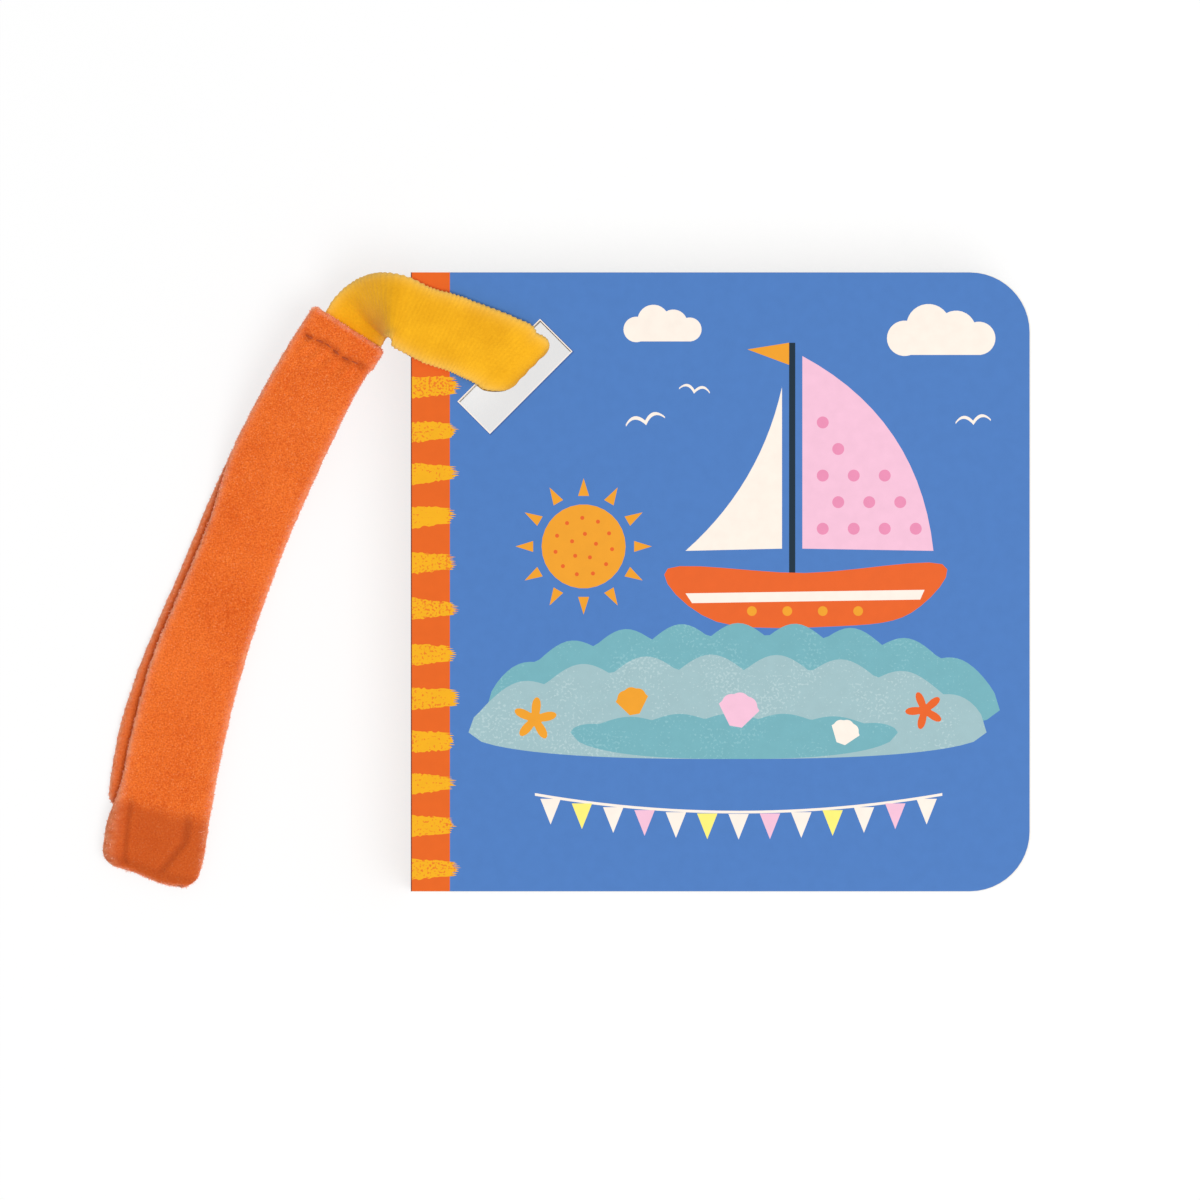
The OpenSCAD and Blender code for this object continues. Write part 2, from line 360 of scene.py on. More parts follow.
def brush_stroke(y, reach, wear):
    """A stroke's outline on a cover, from the spine's edge to its ragged end. It narrows as it runs dry."""
    body, steps = reach - ragged_len, 14
    dry, lift = wear.uniform(0.12, 0.42), wear.uniform(-0.2, 0.5)

    def edge(t, side):
        return y + lift * t + side * stroke_w / 2 * (1 - dry * t**1.5)

    outline = [Vector((spine_x, edge(0, -1)))]
    for k in range(1, steps):
        outline.append(Vector((spine_x + body * k / steps, edge(k / steps, -1) + wear.uniform(-0.15, 0.3))))
    for k in range(tooth_count):
        middle = (k + 0.5) / tooth_count
        belly = reach - 1.2 * (2 * middle - 1) ** 2
        gap_y = mix(edge(1, -1), edge(1, 1), (k + wear.uniform(0, 0.25)) / tooth_count)
        gap_x = max(body + 0.1, belly - wear.uniform(0.5, 1.7))
        tooth_x = spine_x + belly + wear.uniform(-0.4, 0.6)
        outline.append(Vector((spine_x + gap_x, gap_y)))
        outline.append(Vector((tooth_x, mix(edge(1, -1), edge(1, 1), middle))))
    for k in range(steps - 1, 0, -1):
        outline.append(Vector((spine_x + body * k / steps, edge(k / steps, 1) + wear.uniform(-0.3, 0.15))))
    outline.append(Vector((spine_x, edge(0, 1))))
    return outline


def window_fields():
    """A darker line of painted shade round the window, shifted towards its lower right, the bare core that
    shows inside it, and the window itself.
    """
    # Painted shade: the dark line is shifted towards the window's lower right.
    line = [p + Vector((0.12, -0.12)) for p in window_outline(0.42)]
    return [("window line", line), ("cream", window_outline(0.24)), ("window", window_outline())]


def spine_band(seed):
    """The orange ground, its strokes and a thin dark line of painted shade along the spine's edge, as fields
    of a cover's sheet.
    """
    wear = random.Random(seed)
    fields = [("spine orange", oblong(spine_x, -head_y, spine_x + band_w, head_y))]
    for y, reach in strokes:
        fields.append(("brush yellow", brush_stroke(y, reach, wear)))
    # Painted shade: a thin dark line along the spine's edge, where the cover turns over the spine.
    fields.append(("worn fold", oblong(spine_x, -head_y, spine_x + fold_shade_w, head_y)))
    return fields


def over_the_spine(name, hinge_z, board_z, outer_z):
    """Half of the paper over the spine, cut in rows that lie closer where the cover's board ends."""
    wear = random.Random(11)
    middle_z = book_t / 2
    bend = [mix(hinge_z, board_z, k / 8) for k in range(9)]
    rows = [middle_z, *bend, outer_z]
    fields = [("spine orange", oblong(-head_y, middle_z, head_y, outer_z))]
    for low, high in zip(rows, rows[1:]):
        fields.append(("spine orange", oblong(-head_y, low, head_y, high)))
    for y, _ in strokes:
        down, up = y - stroke_w / 2, y + stroke_w / 2
        steps = [mix(middle_z, outer_z, k / 9) for k in range(10)]
        one = [(down + wear.uniform(-0.2, 0.2) * (0 < k < 9), z) for k, z in enumerate(steps)]
        other = [(up + wear.uniform(-0.2, 0.2) * (0 < k < 9), z) for k, z in enumerate(steps)]
        fields.append(("brush yellow", one + other[::-1]))
    sheet = printed_sheet(name, fields, lambda y, z: (spine_x - paper, y, z), (-1, 0, 0))
    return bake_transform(sheet)


board_gap = pitch - 2 * ply_t
front_hinge_z = front_low.z - board_gap / 2
back_hinge_z = back_high.z + board_gap / 2
over_the_spine("spine_paper_front", front_hinge_z, front_low.z, book_t + paper)
over_the_spine("spine_paper_back", back_hinge_z, back_high.z, -paper)


# Front cover's sheet
# A plain seaside pattern: a boat with a dotted sail and a cream one, a sun, clouds and gulls over a
# band of waves, sea stars and shells, and a string of small pennants along the foot.


def rounded(points, steps=6):
    """A smooth closed outline through a few points."""
    ring = [Vector(p) for p in points]
    outline = []
    for i in range(len(ring)):
        a, b, c, d = (ring[(i + k) % len(ring)] for k in (-1, 0, 1, 2))
        for k in range(steps):
            t = k / steps
            square, cube = 2 * a - 5 * b + 4 * c - d, 3 * b - a - 3 * c + d
            outline.append(0.5 * (2 * b + (c - a) * t + square * t**2 + cube * t**3))
    return outline


def bow(start, end, bulge, steps=14):
    """Points from one spot to another on a line that bows out to its left."""
    start, end = Vector(start), Vector(end)
    out = (end - start).orthogonal().normalized() * bulge
    return [start.lerp(end, k / steps) + out * 4 * k / steps * (1 - k / steps) for k in range(steps + 1)]


def cloud(x, y, width):
    """A flat-bottomed cloud of four round puffs."""
    r = width / 2
    puffs = [(-0.68, 0, 0.32), (-0.25, 0.22, 0.4), (0.25, 0.14, 0.36), (0.66, 0, 0.3)]
    fields = [oblong(x - 0.7 * r, y - 0.3 * r, x + 0.7 * r, y)]
    fields += [disc(x + dx * r, y + dy * r, size * r) for dx, dy, size in puffs]
    return [("cream", outline) for outline in fields]


def gull(x, y, span, tilt):
    """A gull far off: two thin curved wings."""
    points = []
    for side in (1, -1):
        for k in range(-8 * side, 9 * side, side):
            t = k / 8
            arch = 0.16 * span * (1 - (2 * abs(t) - 1) ** 2)
            off = 0.05 * span if side > 0 else -0.07 * span * (1 - abs(t))
            points.append(Vector((t * span / 2, arch + off)))
    turn = unit(tilt)
    return [(x + p.x * turn.x - p.y * turn.y, y + p.x * turn.y + p.y * turn.x) for p in points]


def sea_star(x, y, radius, tilt):
    """A sea star with five round arms."""
    return [
        Vector((x, y)) + radius * (0.66 + 0.34 * math.cos(math.radians(5 * a))) * unit(a + tilt)
        for a in range(0, 360, 6)
    ]


def shell(x, y, radius, tilt):
    """A fan shell: a scalloped fan over a narrow foot."""
    middle = Vector((x, y))
    outline = [middle + 0.28 * radius * unit(tilt + side) - 0.75 * radius * unit(tilt) for side in (90, -90)]
    for a in range(-70, 71, 4):
        rim = radius * (0.94 + 0.07 * abs(math.cos(math.radians(a * 4.5))))
        outline.append(middle + rim * unit(tilt + a) - 0.2 * radius * unit(tilt))
    return outline


def swell(left, right, top, bottom, crest, length, phase):
    """A patch of water with scalloped crests above, round ends and a slow curve below."""
    upper, lower = [], []
    steps = 96
    for k in range(steps + 1):
        t = k / steps
        x = mix(left, right, t)
        rise = (1 - abs(2 * t - 1) ** 2.6) ** 0.5
        upper.append((x, mix(bottom, top + crest * abs(math.sin(math.pi * (x / length + phase))), rise)))
    for k in range(1, 40):
        t = 1 - k / 40
        lower.append((mix(left, right, t), bottom - 6 * (1 - abs(2 * t - 1) ** 2.6) ** 0.5))
    return upper + lower


def boat(x, y):
    """A sailing boat: hull, stripe, mast, a dotted main sail, a cream fore sail and a pennant."""
    keel = [(-31, 5), (0, 4), (31, 6), (24, -5), (8, -8), (-20, -7)]
    hull = rounded([(x + dx, y + dy) for dx, dy in keel])
    stripe = [(x - 27, y - 0.6), (x + 27, y + 0.2), (x + 26, y - 2), (x - 25.5, y - 2.8)]
    mast = oblong(x - 3.6, y + 3, x - 2.2, y + 56)
    main = [*bow((x - 0.6, y + 53), (x + 29, y + 9), 7), (x - 0.6, y + 9.5)]
    fore = [*bow((x - 27, y + 9), (x - 5.2, y + 46), -3.5), (x - 5.2, y + 9.5)]
    pennant = [(x - 3.6, y + 56), (x - 3.6, y + 51), (x - 13, y + 54.5)]
    fields = [("mast navy", mast), ("sail pink", main), ("cream", fore), ("sun orange", pennant)]
    fields += [("hull red", hull), ("cream", stripe)]
    for row in range(6):
        for column in range(4):
            dot_x, dot_y = x + 4 + 7 * column + 3.5 * (row % 2), y + 14 + 6 * row
            if (dot_x - x + 0.6) / 29.6 + (dot_y - y - 9) / 44 < 1.02:
                fields.append(("deep pink", disc(dot_x, dot_y, 1.35)))
    for k in range(4):
        fields.append(("sun orange", disc(x - 12 + 8 * k, y - 4.6, 1.1)))
    return fields


def sun(x, y, radius):
    """A sun with short rays and a dotted face."""
    fields = []
    for a in range(0, 360, 30):
        far, near, wide = unit(a) * radius * 1.62, unit(a) * radius * 1.2, unit(a + 90) * radius * 0.13
        middle = Vector((x, y))
        fields.append(("sun orange", [middle + near + wide, middle + near - wide, middle + far]))
    fields.append(("sun orange", disc(x, y, radius)))
    for ring, count in ((0.3, 5), (0.68, 11)):
        for k in range(count):
            spot = Vector((x, y)) + ring * radius * unit(360 * k / count + 40 * ring)
            fields.append(("hull red", disc(spot.x, spot.y, 0.45)))
    return fields


def pennants(left, right, y, count):
    """A string of small pennants that hangs in a slow curve."""

    def sag(x):
        return y - 4 * (1 - ((x - (left + right) / 2) / ((right - left) / 2)) ** 2)

    steps = [mix(left, right, k / 24) for k in range(25)]
    line = [(x, sag(x) + 0.3) for x in steps] + [(x, sag(x) - 0.3) for x in reversed(steps)]
    fields = [("cream", line)]
    for k in range(count):
        x = mix(left, right, (k + 0.5) / count)
        top = sag(x)
        ink = ("cream", "soft yellow", "cream", "sail pink")[k % 4]
        fields.append((ink, [(x - 2.3, top - 0.4), (x + 2.3, top - 0.4), (x, top - 6.2)]))
    return fields


cover_fields = [("sea blue", board_sheet(spine_x, bare_edge)), *spine_band(2)]
cover_fields += sun(-31, 8, 9.5)
cover_fields += cloud(50, 55, 25) + cloud(-13, 57, 18)
for far_gull in ((-17, 36, 9, 12), (-6, 43, 7, -8), (57, 36, 8, 5)):
    cover_fields.append(("cream", gull(*far_gull)))
cover_fields += boat(19, -2)
cover_fields += [
    ("mid teal", swell(-53, 63, -12.5, -29, 3.2, 13, 0.2)),
    ("pale teal", swell(-57, 60, -20, -34, 3.6, 15, 0.65)),
    ("mid teal", swell(-34, 40, -31, -34, 1.3, 12, 0.3)),
    ("sun orange", sea_star(-42, -31, 5, 12)),
    ("sail pink", shell(4, -29, 5, 80)),
    ("hull red", sea_star(46, -29, 4.4, 40)),
    ("sun orange", shell(-20, -27, 4, 100)),
    ("cream", shell(28, -34, 3.6, 70)),
]
cover_fields += pennants(-42, 50, -48, 13)
cover_fields += window_fields()
front_sheet = printed_sheet(
    "front_cover_print", cover_fields, lambda x, y: (x, y, book_t + paper), (0, 0, 1)
)
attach(front_sheet, "front_board")


# Back cover's sheet
# The same blue with the striped band, a low band of waves and one shell. It is printed with the
# front one on a single sheet that wraps the spine.

back_fields = [("sea blue", board_sheet(spine_x, bare_edge)), *spine_band(3)]
back_fields += [
    ("mid teal", swell(-44, 56, -34, -48, 3, 13, 0.4)),
    ("pale teal", swell(-48, 60, -41, -56, 3.4, 15, 0)),
    ("sail pink", shell(10, 6, 8, 90)),
    *window_fields(),
]
back_sheet = printed_sheet(
    "back_cover_print", back_fields, lambda x, y: (x, y, -paper), (0, 0, -1)
)
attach(back_sheet, "back_board")


# Sheets inside the book
# The linings of both covers and the outer sides of the first and last leaf. They have flat hills,
# spots and stars in the cover's inks, and show only when a cover is opened.


def inner_fields(ground, hill, far_hill, spot, star, seed):
    """A simple picture for one side of a leaf."""
    place = random.Random(seed)
    fields = [(ground, board_sheet(lined_from, bare_edge))]
    for ink, top, phase in ((far_hill, -34, 0.3), (hill, -46, 0.8)):
        crest = [(x, top + 7 * math.sin(x / 19 + 6 * phase)) for x in range(-75, 79, 3)]
        fields.append((ink, [(crest[0][0], -head_y - 5), *crest, (crest[-1][0], -head_y - 5)]))
    for k in range(7):
        fields.append((spot, disc(-20 + 12 * k, 42 + place.uniform(-12, 12), place.uniform(1.4, 3))))
    for x, y in ((-46, -56), (-14, -58), (46, -55)):
        fields.append((star, sea_star(x, y, 4.2, place.uniform(0, 70))))
    return fields + window_fields()[1:]


front_lining = ("soft yellow", "sun orange", "hull red", "cream", "cream", 1)
first_page = ("soft yellow", "mid teal", "pale teal", "sun orange", "cream", 2)
last_page = ("sail pink", "sea blue", "pale teal", "cream", "soft yellow", 3)
back_lining = ("sail pink", "deep pink", "sun orange", "cream", "cream", 4)
inner_sides = (
    ("front_cover_lining", "front_board", front_low.z - paper, -1, front_lining),
    ("first_page_print", "block", front_low.z - board_gap + paper, 1, first_page),
    ("last_page_print", "block", back_high.z + board_gap - paper, -1, last_page),
    ("back_cover_lining", "back_board", back_high.z + paper, 1, back_lining),
)
for name, body, z, side, colours in inner_sides:
    slot = "printed_board" if "cover" in name else "page_board"
    lining = printed_sheet(name, inner_fields(*colours), lambda x, y, z=z: (x, y, z), (0, 0, side))
    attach(lining, body)


# Gutter papers
# The fold of the first and last spread. The paper runs off the leaf, over the spine panel's end and
# back along the cover's lining. It is soft there, and opens to a low ridge.


def gutter_paper(name, ink, side):
    """A folded strip as high as the book. side is 1 for the front cover and -1 for the back one."""
    half_gap = board_gap / 2 - paper
    fold = (
        (lined_from, -half_gap),
        (-68.2, -half_gap),
        (-68.6, -half_gap + 0.04),
        (-68.9, -0.3),
        (-69.1, -0.06),
        (-69.35, 0.06),
        (-69.6, 0.1),
        (-69.8, 0.16),
        (-69.88, 0.26),
        (-69.8, 0.4),
        (-69.5, half_gap - 0.04),
        (-69, half_gap),
        (lined_from, half_gap),
    )
    hinge_z = front_hinge_z if side > 0 else back_hinge_z
    points, faces = [], []
    for x, rise in fold:
        points += [(x, -head_y + 0.1, hinge_z + side * rise), (x, head_y - 0.1, hinge_z + side * rise)]
    for k in range(len(fold) - 1):
        faces.append([2 * k, 2 * k + 1, 2 * k + 3, 2 * k + 2])
    strip = put_mesh(name, points, faces, [inks[ink]], smooth=True)
    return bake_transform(strip)


gutter_paper("gutter_paper_front", "soft yellow", 1)
gutter_paper("gutter_paper_back", "sail pink", -1)


# Felt flaps
# Soft flaps die cut from dyed wool-look felt. Each is a lobed disc with a round patch of another
# felt on it, glued to its page by a strip on the gutter side.

flap_centre = Vector((12, -14))
flap_r = 19
lobe_r = 6.5
strip_len = 30
strip_w = 12
felt_t = 1


def felt(name, hex_colour, deep_hex):
    """Needled polyester felt: matt, with fine tangled fibres and a little fuzz against the light."""
    cloth = new_finish(name, Roughness=0.95, Sheen_Weight=0.4, Sheen_Roughness=0.6)
    fibres = grain(cloth, 0.5, 6, Distortion=1.5)
    shade = ranged(cloth, fibres, 0.35, 0.65)
    coat(cloth, tinted(cloth, shade, deep_hex, hex_colour), fibres, 0.6, 0.2)
    return cloth


felts = {
    "orange": felt("orange felt", "#f1a124", "#d98a18"),
    "pink": felt("pink felt", "#f6c2d9", "#e2a4bf"),
    "teal": felt("teal felt", "#76b2bc", "#5f9ba6"),
    "red": felt("red-orange felt", "#ea6c20", "#cf5a18"),
    "yellow": felt("yellow felt", "#fcb622", "#e09f18"),
}


def flap_reach(degrees, lobes):
    """How far the flap's cut edge lies from its centre in one direction."""
    way = unit(degrees)
    reach = flap_r
    for k in range(lobes):
        lobe = flap_r * unit(360 * k / lobes)
        ahead, beside = lobe.dot(way), lobe.cross(way)
        if ahead > 0 and abs(beside) < lobe_r:
            reach = max(reach, ahead + math.sqrt(lobe_r**2 - beside**2))
    if way.x < 0:
        edge_x = (flap_r + strip_w) / -way.x
        edge_y = strip_len / 2 / max(abs(way.y), 1e-6)
        reach = max(reach, min(edge_x, edge_y))
    return reach


def felt_piece(name, node, body, bottom, lobes, main, patch):
    """One flap with its patch, crowned a little and rounded at the cut."""
    spokes = 240
    rings = [0, 0.12, 0.24, 0.36, 0.4, 0.44, 0.48, 0.6, 0.72, 0.84, 0.93, 0.975, 1]
    points, faces, which = [], [], []
    for layer in (1, -1):
        for share in rings:
            for k in range(spokes):
                spot = flap_centre + share * flap_reach(360 * k / spokes, lobes) * unit(360 * k / spokes)
                fuzz = 0.06 * noise.noise(Vector((spot.x, spot.y, lobes)) * 1.3)
                round_edge = math.sqrt(max(0, 1 - max(0, (share - 0.93) / 0.07) ** 2))
                top = felt_t * (0.5 + 0.4 * round_edge) + fuzz * round_edge
                low = felt_t * (0.5 - 0.45 * round_edge)
                raised = 0.12 if share <= 0.42 else 0
                points.append((spot.x, spot.y, bottom + (top + raised if layer > 0 else low)))
    for layer in range(2):
        first = layer * len(rings) * spokes
        for i in range(len(rings) - 1):
            for k in range(spokes):
                a, b = first + i * spokes + k, first + i * spokes + (k + 1) % spokes
                quad = [a, a + spokes, b + spokes, b]
                faces.append(quad if layer == 0 else quad[::-1])
                which.append(int(layer == 0 and rings[i + 1] <= 0.44))
    piece = put_mesh(name, points, faces, [felts[main], felts[patch]], which, smooth=True)
    merge_close(piece)
    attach(piece, body)
    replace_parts(piece, node)
    return piece


def merge_close(piece):
    """Joins the points of a mesh that lie on each other."""
    keep, number, points = {}, [], []
    for v in piece.data.vertices:
        key = tuple(round(c, 7) for c in v.co)
        if key not in keep:
            keep[key] = len(points)
            points.append(v.co.copy())
        number.append(keep[key])
    faces, which = [], []
    for face in piece.data.polygons:
        ring = []
        for i in face.vertices:
            if number[i] not in ring:
                ring.append(number[i])
        if len(ring) > 2:
            faces.append(ring)
            which.append(face.material_index)
    piece.data.clear_geometry()
    piece.data.from_pydata(points, [], faces)
    piece.data.polygons.foreach_set("material_index", which)
    piece.data.polygons.foreach_set("use_smooth", [True] * len(faces))
    piece.data.update()


flaps = (
    ("felt_flap_1", "block", 4, 7, "orange", "red"),
    ("felt_flap_2", "block", 3, 5, "pink", "teal"),
    ("felt_flap_3", "block", 2, 8, "teal", "yellow"),
    ("felt_flap_4", "block", 1, 6, "red", "pink"),
    ("felt_flap_5", "back_board", 0, 9, "yellow", "orange"),
)
for node, body, level, lobes, main, patch in flaps:
    felt_piece(f"{node}_cloth", node, body, level * pitch + 2 * ply_t, lobes, main, patch)


# Strap loop
# A brushed knitted band, doubled and padded. It leaves the seam between the tabs, turns beside the
# spine, crosses the cover, is gathered through the window and comes back pressed under the book.

strap_t = 2.1
pressed_t = 1.2
tail_t = 1.2
strap_seam_w = 14.8
strap_turn_w = 14
strap_cover_w = 16.6
strap_fold_w = 18.4
strap_window_w = 13.4
turn_r = 2
turn_centre = Vector((spine_x - 4.2, head_y - 16))
fold_r = 3.4
skin_gap = 0.1
seam_head = 62
cover_head = -25
fold_head = window_slant - 90
mid_z = book_t / 2
cover_strand_z = book_t + skin_gap + strap_t / 2
front_tail_z = mid_z + skin_gap / 2 + tail_t / 2
rear_share = (mid_z + pressed_t / 2) / (cover_strand_z - mid_z)
tail_len = 9.6
turn_steps = 12
rise_from = 1
rise_to = 10
cover_steps = 6
fold_steps = 5
fold_along = 1.7
fold_shift = 1.75
fold_start = 1.8
fold_settle = 1.2
lean = 15
spread_rate = 2.2
drop_shares = (0.4, 0.75)
fold_gather = 0.7
slip = 1.1
slip_from = 2
slip_near = 11
slip_far = 18
bulge = 1.3
bulge_near = 5
bulge_far = 15


def smooth(t):
    """A share that eases in and out."""
    return (1 - math.cos(math.pi * min(1, max(0, t)))) / 2


def section(spot, z, head, width, thick):
    """Where a band is: its place, its heading, half its width and half its thickness."""
    return [spot[0], spot[1], z, head, width / 2, thick / 2]


def fold_section(out, z, share, narrow=1.0):
    """A section over the window's edge or in the window, out from the edge."""
    spot = fold_from + out * unit(fold_head) + fold_shift * share * unit(window_slant)
    return section(spot, z, fold_head, mix(strap_fold_w, strap_window_w, narrow) - fold_gather, strap_t)


def rear(s):
    """The rear strand repeats the front one below the middle, flattened under the book."""
    down = (s[2] - mid_z) / (cover_strand_z - mid_z)
    return [s[0], s[1], mid_z - (s[2] - mid_z) * rear_share, s[3], s[4], mix(s[5], pressed_t / 2, down)]


strap_upper = []
for k in range(3):
    spot = turn_centre + (turn_r + strap_seam_w / 2) * unit(seam_head + 90)
    spot -= tail_len * (1 - k / 3) * unit(seam_head)
    strap_upper.append(section(spot, front_tail_z, seam_head, strap_seam_w, tail_t))
for k in range(turn_steps + 1):
    head = mix(seam_head, cover_head, k / turn_steps)
    width = mix(strap_seam_w, strap_turn_w, smooth(k / turn_steps))
    z = mix(front_tail_z, cover_strand_z, smooth((k - rise_from) / (rise_to - rise_from)))
    thick = mix(tail_t, strap_t, smooth(2 * k / turn_steps))
    strap_upper.append(section(turn_centre + (turn_r + width / 2) * unit(head + 90), z, head, width, thick))
fold_from = window_centre + fold_along * unit(window_slant) - window_w / 2 * unit(fold_head)
turn_end = turn_centre + (turn_r + strap_turn_w / 2) * unit(cover_head + 90)
for k in range(1, cover_steps + 1):
    t = k / cover_steps
    width = mix(mix(strap_turn_w, strap_cover_w, smooth(spread_rate * t)), strap_fold_w, smooth(2 * t - 1))
    head = mix(cover_head, fold_head, smooth(2 * t - 1))
    strap_upper.append(section(mix(turn_end, fold_from, t), cover_strand_z, head, width, strap_t))

# Just past its turn the soft strap slips inwards a little, and fills out on that side.
for s in strap_upper:
    past = s[0] - spine_x - slip_from
    shift = slip * hump(past / (slip_far if past > 0 else slip_near))
    full = bulge * hump((past + 1) / (bulge_far if past > -1 else bulge_near))
    s[:2] = Vector(s[:2]) + (shift + full / 2) * unit(cover_head - 90)
    s[4] += full / 2

fold_top_z = cover_strand_z - fold_r
fold_lean_z = fold_top_z - fold_r * math.sin(math.radians(lean))
fold_lean_out = fold_start + fold_r * math.cos(math.radians(lean))
for k in range(2 * fold_steps + 1):
    a = k * (90 + lean) / fold_steps / 2
    over, held = unit(a), unit(min(90, a))
    out, z = fold_start + fold_r * over.y, fold_top_z + fold_r * over.x
    strap_upper.append(fold_section(out, z, held.y, 1 - held.x))
for t in drop_shares:
    strap_upper.append(fold_section(fold_lean_out - fold_settle * smooth(t), mix(fold_lean_z, mid_z, t), 1))
strap_middle = fold_section(fold_lean_out - fold_settle, mid_z, 1)
strap_sections = [*strap_upper, strap_middle, *(rear(s) for s in reversed(strap_upper))]


def closely(sections, spacing):
    """Sections set close together, on a smooth curve through the given ones."""
    out = []
    gaps = [max(1e-6, math.dist(a[:3], b[:3])) for a, b in zip(sections, sections[1:])]
    for i in range(len(sections) - 1):
        here, there, gap = sections[i], sections[i + 1], gaps[i]
        before, after = gaps[max(0, i - 1)], gaps[min(len(gaps) - 1, i + 1)]
        last, following = sections[max(0, i - 1)], sections[min(len(sections) - 1, i + 2)]
        steps = max(1, round(gap / spacing(here, there)))
        for k in range(steps):
            t = k / steps
            row = []
            for p0, p1, p2, p3 in zip(last, here, there, following):
                rate = rate_in = rate_out = (p2 - p1) / gap
                if i:
                    rate_in = (rate * before + (p1 - p0) / before * gap) / (before + gap)
                if i < len(gaps) - 1:
                    rate_out = (rate * after + (p3 - p2) / after * gap) / (after + gap)
                a, b = rate_in * gap, rate_out * gap
                leaving = (2 * t**3 - 3 * t**2 + 1) * p1 + (t**3 - 2 * t**2 + t) * a
                row.append(leaving + (3 * t**2 - 2 * t**3) * p2 + (t**3 - t**2) * b)
            out.append(row)
    return [*out, sections[-1]]


def stadium(half_w, half_t, across, around):
    """The outline of a soft flat band's section: place across, height, and the way out at each point."""
    outline = []
    flat = half_w - half_t
    for side in (1, -1):
        for k in range(around + 1):
            a = 180 * k / around - 90
            way = unit(a)
            v, h = side * (flat + half_t * way.x), side * half_t * way.y
            outline.append((v, h, side * way.x, side * way.y))
        for k in range(1, across):
            outline.append((side * mix(flat, -flat, k / across), side * half_t, 0, side))
    return outline


def band_mesh(rows, across, around, shape):
    """Points, faces and places of a band. shape moves each point and says how the band is there."""
    points, faces, marks = [], [], []
    run = 0
    for i, s in enumerate(rows):
        a, b = rows[max(0, i - 1)], rows[min(len(rows) - 1, i + 1)]
        run += math.dist(rows[max(0, i - 1)][:3], s[:3])
        way = unit(s[3])
        forward = (b[0] - a[0]) * way.x + (b[1] - a[1]) * way.y
        pitch_a = math.atan2(b[2] - a[2], forward)
        side = Vector((-way.y, way.x, 0))
        up = Vector((-math.sin(pitch_a) * way.x, -math.sin(pitch_a) * way.y, math.cos(pitch_a)))
        for v, h, out_v, out_h in stadium(s[4], s[5], across, around):
            spot = Vector(s[:3]) + side * v + up * h
            out = side * out_v + up * out_h
            push, slide, mark = shape(run, v, h, out_h, spot, s)
            points.append(spot + out * push + Vector((*way, 0)) * slide)
            marks.append(mark)
    n = 2 * (across + around)
    for i in range(len(rows) - 1):
        for j in range(n):
            a, b = i * n + j, i * n + (j + 1) % n
            faces.append([a, a + n, b + n, b])
    faces.append(list(range(n)))
    faces.append([len(points) - 1 - j for j in range(n)])
    return points, faces, marks


# Knit courses are 0.95 mm apart, and a ring of points each 0.3 mm draws them.
course_len = 0.95
wale_len = 0.8
ring_step = 0.3
stretch_step = 0.035


def marked(finish, mark):
    """How strongly the points of the mesh are marked."""
    return add(finish, "ShaderNodeAttribute", {}, attribute_name=mark)["Fac"]


def mark_points(piece, names, marks):
    """Writes the marks of a mesh's points, for its finish to read."""
    for name, values in zip(names, zip(*marks)):
        layer = piece.data.attributes.new(name, "FLOAT", "POINT")
        layer.data.foreach_set("value", list(values))


def knit(name, hex_colour, deep_hex, light_hex):
    """Brushed double knit in cotton: matt loops in fine courses, with a soft raised nap, painted shade in the
    creases, and rims paler with fuzz and painted sheen.
    """
    cloth = new_finish(name, Roughness=0.92, Specular_IOR_Level=0.15, Sheen_Weight=0.15, Sheen_Roughness=0.5)
    nap = grain(cloth, 0.55, 4)
    shade = maths(cloth, "MULTIPLY_ADD", nap, 0.55, grain(cloth, 9, 2))
    tone = tinted(cloth, ranged(cloth, shade, 0.58, 0.98), deep_hex, hex_colour)
    # Painted shade in the creases and along the inner edge of the turn.
    tone = tinted(cloth, marked(cloth, "crease_and_shade"), tone, "#b98218")
    # Paler rims: partly fuzz, partly painted sheen.
    tone = tinted(cloth, marked(cloth, "rim"), tone, light_hex)
    course = maths(cloth, "MULTIPLY", marked(cloth, "along"), math.tau / course_len)
    wale = maths(cloth, "MULTIPLY", marked(cloth, "across"), math.tau / wale_len)
    loops = maths(cloth, "MULTIPLY", maths(cloth, "SINE", course), maths(cloth, "SINE", wale))
    coat(cloth, tone, maths(cloth, "MULTIPLY_ADD", loops, 0.06, nap), 0.5, 0.25)
    return cloth


yellow_knit = knit("brushed yellow cotton knit", "#fcb81a", "#eda812", "#ffd06a")


def strap_spacing(here, there):
    """Rings lie closer between a cover and the pages, where the strap stretches as a cover opens."""
    z = (here[2] + there[2]) / 2
    inside = here[0] > window_centre.x - 8 and abs(z - mid_z) < mid_z
    near_gap = min(abs(z - front_hinge_z), abs(z - back_hinge_z)) < 1.6
    return stretch_step if inside and near_gap else ring_step


